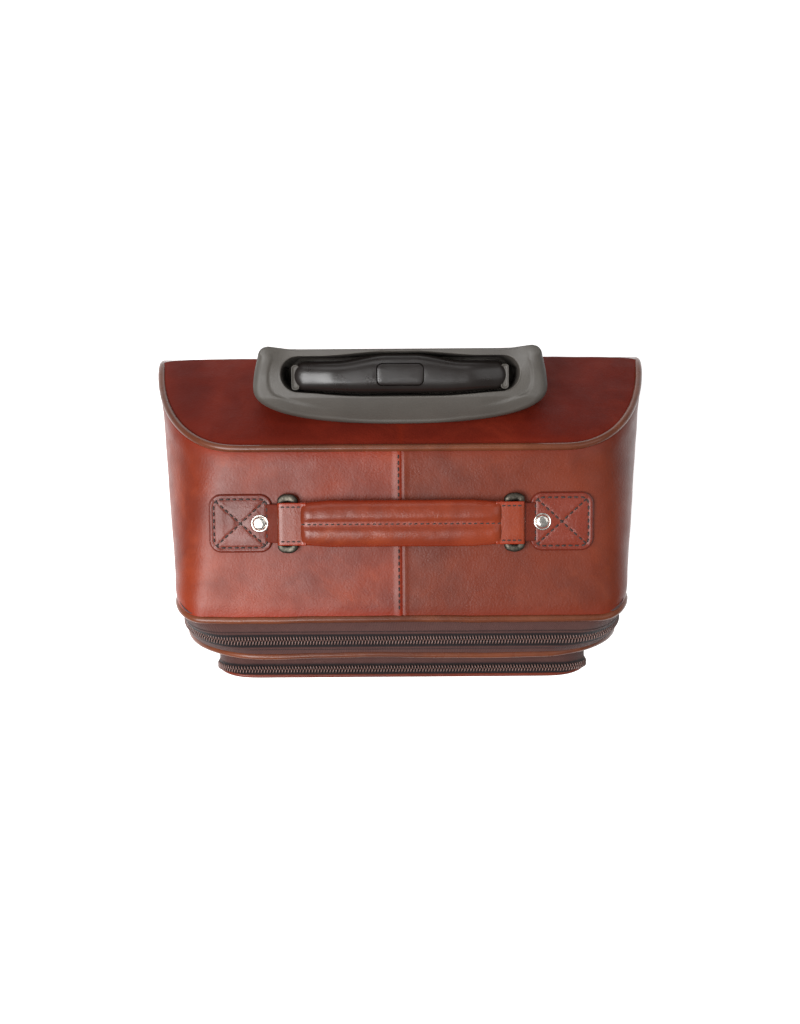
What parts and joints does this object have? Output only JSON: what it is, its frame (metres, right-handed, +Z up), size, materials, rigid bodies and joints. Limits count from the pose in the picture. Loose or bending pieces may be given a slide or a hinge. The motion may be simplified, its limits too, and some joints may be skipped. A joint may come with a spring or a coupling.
{
  "type": "pilot rolling flight case",
  "caption": "Leather-covered rolling flight case with a zipped front lid and pocket, a carry handle on wire rings, a telescopic trolley handle and wheels.",
  "frame": {"origin": "centre of the bounding box's base, on the floor between the wheels and feet", "axes": "+Z up, -Y towards the front lid and pocket, +X to the right when facing the front lid from the front"},
  "size_m": [0.4524, 0.295, 0.4055],
  "materials": {
    "leather_main": "satin pebbled",
    "leather_dark": "satin",
    "piping_leather": "satin",
    "board": "matte",
    "lining": "woven",
    "band_fabric": "woven",
    "zip_coil": "satin",
    "black_plastic": "fine texture",
    "grip_plastic": "semi-gloss",
    "tube_metal": "anodised",
    "rod_metal": "plain",
    "steel": "plain",
    "pewter": "antique",
    "nickel": "satin",
    "tyre": "matte",
    "rubber": "matte"
  },
  "bodies": {
    "case": {"base_board": "board", "top_board": "board", "side_board_left": "board", "side_board_right": "board", "back_board": "board", "shoulder_board": "board", "corner_formers": "board", "leather_gusset": "leather_main", "back_panel": "leather_dark", "back_piping": "piping_leather", "front_piping": "piping_leather", "body_zip_band": "band_fabric", "body_zip_coil": "zip_coil", "wheel_housing_left": "black_plastic", "wheel_housing_right": "black_plastic", "wheel_axles": "steel", "front_feet": "rubber", "case_screws": "steel", "handle_tab_left": "leather_dark", "handle_tab_right": "leather_dark", "handle_rivets": "nickel", "trolley_bezel": "black_plastic", "outer_tubes": "tube_metal", "outer_tube_collars": "black_plastic", "tube_foot_bracket": "black_plastic", "liner_panel": "lining"},
    "wheel_left": {"tyre_left": "tyre", "hub_left": "black_plastic", "bearings_left": "steel"},
    "wheel_right": {"tyre_right": "tyre", "hub_right": "black_plastic", "bearings_right": "steel"},
    "trolley_lower": {"mid_tubes": "tube_metal", "mid_tube_collars": "black_plastic"},
    "trolley_upper": {"inner_tubes": "tube_metal", "grip_lower_shell": "grip_plastic", "grip_upper_shell": "grip_plastic", "grip_screws": "steel", "lock_blocks": "black_plastic", "button_spring": "steel"},
    "button": {"release_button": "grip_plastic", "push_rods": "rod_metal"},
    "lock_left": {"lock_pin_left": "steel"},
    "lock_right": {"lock_pin_right": "steel"},
    "carry_handle": {"handle_pad": "leather_main", "handle_loops": "leather_main"},
    "ring_left": {"ring_left": "pewter"},
    "ring_right": {"ring_right": "pewter"},
    "lid": {"lid_board": "board", "lid_panel": "leather_main", "lid_zip_band": "band_fabric", "lid_zip_coil": "zip_coil", "lid_piping": "piping_leather", "pocket_back_band": "band_fabric"},
    "pocket_flap": {"pocket_panel": "leather_main", "pocket_front_band": "band_fabric"},
    "main_slider": {"main_slider": "pewter"},
    "main_pull": {"main_pull": "pewter"},
    "pocket_slider": {"pocket_slider": "pewter"},
    "pocket_pull": {"pocket_pull": "pewter"}
  },
  "joints": [
    {"name": "wheel_left_spin", "type": "hinge", "parent": "case", "child": "wheel_left", "pos_m": [-0.184, 0.1075, 0.03], "axis": [1, 0, 0], "continuous": true},
    {"name": "wheel_right_spin", "type": "hinge", "parent": "case", "child": "wheel_right", "pos_m": [0.184, 0.1075, 0.03], "axis": [1, 0, 0], "continuous": true},
    {"name": "trolley_lower_slide", "type": "slide", "parent": "case", "child": "trolley_lower", "axis": [0, 0, 1], "range_m": [0, 0.255]},
    {"name": "trolley_upper_slide", "type": "slide", "parent": "trolley_lower", "child": "trolley_upper", "axis": [0, 0, 1], "range_m": [0, 0.255]},
    {"name": "button_press", "type": "slide", "parent": "trolley_upper", "child": "button", "axis": [0, 0, -1], "range_m": [0, 0.003], "stiffness_N_per_m": 800, "springref_m": -0.004, "deforming": ["button_spring"]},
    {"name": "lock_left_slide", "type": "slide", "parent": "trolley_upper", "child": "lock_left", "axis": [1, 0, 0], "range_m": [0, 0.0025]},
    {"name": "lock_right_slide", "type": "slide", "parent": "trolley_upper", "child": "lock_right", "axis": [-1, 0, 0], "range_m": [0, 0.0025]},
    {"name": "handle_lift", "type": "slide", "parent": "case", "child": "carry_handle", "axis": [0, 0, 1], "range_m": [0, 0.00835]},
    {"name": "ring_left_turn", "type": "hinge", "parent": "case", "child": "ring_left", "pos_m": [-0.106, -0.0035, 0.3956], "axis": [0, -1, 0], "range_deg": [0, 40]},
    {"name": "ring_right_turn", "type": "hinge", "parent": "case", "child": "ring_right", "pos_m": [0.106, -0.0035, 0.3956], "axis": [0, 1, 0], "range_deg": [0, 40]},
    {"name": "lid_hinge", "type": "hinge", "parent": "case", "child": "lid", "pos_m": [0, -0.1095, 0.02924], "axis": [1, 0, 0], "range_deg": [0, 66]},
    {"name": "pocket_hinge", "type": "hinge", "parent": "lid", "child": "pocket_flap", "pos_m": [0, -0.139, 0.1075], "axis": [1, 0, 0], "range_deg": [0, 25]},
    {"name": "main_slider_run", "type": "slide", "parent": "case", "child": "main_slider", "axis": [0, 0, 1], "range_m": [0, 0.18]},
    {"name": "main_pull_swing", "type": "hinge", "parent": "main_slider", "child": "main_pull", "pos_m": [0.20468, -0.0945, 0.09124], "axis": [0, -1, 0], "range_deg": [0, 170]},
    {"name": "pocket_slider_run", "type": "slide", "parent": "lid", "child": "pocket_slider", "axis": [0, 0, 1], "range_m": [0, 0.12]},
    {"name": "pocket_pull_swing", "type": "hinge", "parent": "pocket_slider", "child": "pocket_pull", "pos_m": [0.173, -0.139, 0.174], "axis": [0, -1, 0], "range_deg": [0, 170]}
  ],
  "couplings": [
    {"joint": "lock_left_slide", "follows": "button_press", "ratio": 0.8333},
    {"joint": "lock_right_slide", "follows": "button_press", "ratio": 0.8333},
    {"joint": "ring_left_turn", "follows": "handle_lift", "rad_per_m": 83.546},
    {"joint": "ring_right_turn", "follows": "handle_lift", "rad_per_m": 83.546}
  ]
}
